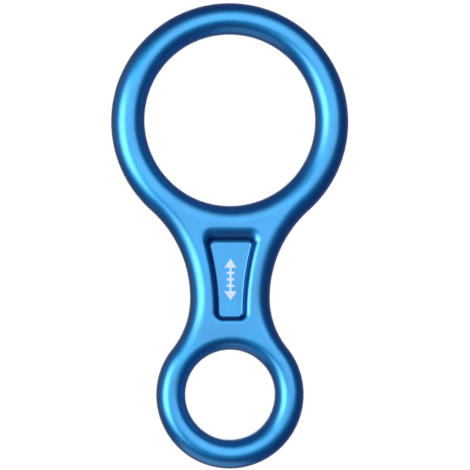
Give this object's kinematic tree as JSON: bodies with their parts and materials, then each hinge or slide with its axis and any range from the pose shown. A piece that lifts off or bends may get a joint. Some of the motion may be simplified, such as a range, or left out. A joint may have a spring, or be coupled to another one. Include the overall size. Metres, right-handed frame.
{
  "type": "rope descender",
  "caption": "Forged aluminium rope descender in the figure-of-eight pattern: large ring for a bight of rope, narrow waist with a recessed panel, small eye for a connector.",
  "frame": {"origin": "centre of the large rope bore at mid thickness", "axes": "+Z along the load line from the small connector eye towards the large rope ring, +Y through the thickness along both bores, the marked face towards -Y"},
  "size_m": [0.0742, 0.011, 0.1452],
  "materials": {
    "forged_body": "satin blue anodised over a blasted forging",
    "load_direction_mark": "matt white printing ink"
  },
  "bodies": {
    "root": {"forged_body": "forged_body", "load_direction_mark": "load_direction_mark"}
  },
  "joints": []
}
